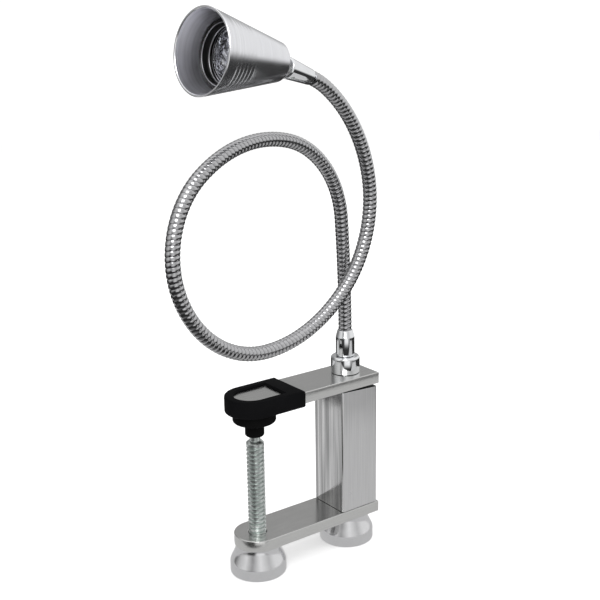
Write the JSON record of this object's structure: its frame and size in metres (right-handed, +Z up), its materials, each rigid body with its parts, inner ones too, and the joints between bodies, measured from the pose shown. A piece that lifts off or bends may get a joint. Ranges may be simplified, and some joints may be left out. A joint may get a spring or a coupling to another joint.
{
  "type": "examination lamp",
  "caption": "Clamp-on examination lamp: screw jaw between flat steel bars, chromed gooseneck curled into a loop, and a grooved conical spot head on a ball joint.",
  "frame": {"origin": "centre of the rear knob's underside, on the plane that both knobs stand on", "axes": "+Z up along the tie rod and the lamp's stem; -X along the bars towards the jaw; Y across the bars, with -Y on the side that the gooseneck steps towards"},
  "size_m": [0.1732, 0.0778, 0.3738],
  "materials": {
    "satin_steel": "satin ground",
    "chrome": "polished",
    "zinc_steel": "zinc plated",
    "aluminium": "satin turned",
    "black_plastic": "moulded",
    "black_insulation": "extruded",
    "white_nylon": "moulded",
    "ceramic": "pressed and fired",
    "mirror_glass": "faceted, vapour coated",
    "clear_glass": "clear",
    "tungsten": "drawn wire"
  },
  "bodies": {
    "clamp": {"upper_bar": "satin_steel", "lower_bar": "satin_steel", "spine": "satin_steel", "tie_rod": "zinc_steel", "collar": "chrome", "jaw_sleeve": "black_plastic", "power_inlet": "black_plastic", "inlet_lead": "black_insulation"},
    "rear_knob": {"rear_knob": "chrome"},
    "jaw_pad": {"pad_hub": "black_plastic", "pad_disc": "black_plastic"},
    "clamp_screw": {"clamp_spindle": "zinc_steel", "clamp_knob": "chrome"},
    "stem": {"stem_ferrule": "chrome", "stem_clip": "zinc_steel", "hose_1": "chrome", "lead_1": "black_insulation"},
    "arm_2": {"hose_2": "chrome", "lead_2": "black_insulation"},
    "arm_3": {"hose_3": "chrome", "lead_3": "black_insulation"},
    "arm_4": {"hose_4": "chrome", "lead_4": "black_insulation"},
    "arm_5": {"hose_5": "chrome", "lead_5": "black_insulation"},
    "arm_6": {"hose_6": "chrome", "lead_6": "black_insulation"},
    "arm_7": {"hose_7": "chrome", "lead_7": "black_insulation"},
    "arm_8": {"hose_8": "chrome", "lead_8": "black_insulation", "head_ferrule": "chrome", "ferrule_set_screw": "zinc_steel", "ball_stud": "chrome"},
    "head_seat": {"ball_seat": "white_nylon"},
    "head": {"seat_nut": "aluminium", "shade": "aluminium", "lamp_retainer": "black_plastic", "lamp_reflector": "mirror_glass", "lamp_cover_glass": "clear_glass", "lamp_base": "ceramic", "lamp_capsule": "clear_glass", "lamp_filament": "tungsten", "lamp_pin_left": "zinc_steel", "lamp_pin_right": "zinc_steel", "lamp_socket": "ceramic"}
  },
  "joints": [
    {"name": "rear_knob_turn", "type": "hinge", "parent": "clamp", "child": "rear_knob", "pos_m": [0, 0, 0.0101], "axis": [0, 0, -1], "range_deg": [0, 180]},
    {"name": "jaw_travel", "type": "slide", "parent": "clamp", "child": "jaw_pad", "axis": [0, 0, -1], "range_m": [0, 0.065]},
    {"name": "screw_turn", "type": "hinge", "parent": "jaw_pad", "child": "clamp_screw", "pos_m": [-0.0772, 0, 0.0101], "axis": [0, 0, -1], "range_deg": [0, 7800]},
    {"name": "lamp_swivel", "type": "hinge", "parent": "clamp", "child": "stem", "pos_m": [0, 0, 0.138], "axis": [0, 0, 1], "range_deg": [-170, 170]},
    {"name": "bend_1", "type": "hinge", "parent": "stem", "child": "arm_2", "pos_m": [-0.00306, -0.00038, 0.23492], "axis": [0.1219, -0.9925, 0], "range_deg": [-25, 20]},
    {"name": "bend_2", "type": "hinge", "parent": "arm_2", "child": "arm_3", "pos_m": [-0.0501, -0.00691, 0.29102], "axis": [0.2407, 0.0296, 0.9701], "range_deg": [-25, 5]},
    {"name": "bend_3", "type": "hinge", "parent": "arm_3", "child": "arm_4", "pos_m": [-0.12398, -0.02122, 0.27778], "axis": [0.1219, -0.9925, 0], "range_deg": [-25, 20]},
    {"name": "bend_4", "type": "hinge", "parent": "arm_4", "child": "arm_5", "pos_m": [-0.14581, -0.03085, 0.20851], "axis": [-0.9357, -0.1149, -0.3337], "range_deg": [-5, 20]},
    {"name": "bend_5", "type": "hinge", "parent": "arm_5", "child": "arm_6", "pos_m": [-0.08581, -0.02824, 0.16541], "axis": [0.1219, -0.9925, 0], "range_deg": [-25, 20]},
    {"name": "bend_6", "type": "hinge", "parent": "arm_6", "child": "arm_7", "pos_m": [-0.01527, -0.02001, 0.19374], "axis": [0.6959, 0.0854, -0.713], "range_deg": [-5, 20]},
    {"name": "bend_7", "type": "hinge", "parent": "arm_7", "child": "arm_8", "pos_m": [0.00592, -0.01741, 0.26583], "axis": [0.1219, -0.9925, 0], "range_deg": [-25, 15]},
    {"name": "head_tilt", "type": "hinge", "parent": "arm_8", "child": "head_seat", "pos_m": [-0.0768, -0.02756, 0.34141], "axis": [0.1219, -0.9925, 0], "range_deg": [-30, 13]},
    {"name": "head_turn", "type": "hinge", "parent": "head_seat", "child": "head", "pos_m": [-0.0768, -0.02756, 0.34141], "axis": [-0.9816, -0.1205, 0.1478], "range_deg": [-170, 170]}
  ],
  "couplings": [
    {"joint": "screw_turn", "follows": "jaw_travel", "rad_per_m": 2094.4}
  ]
}
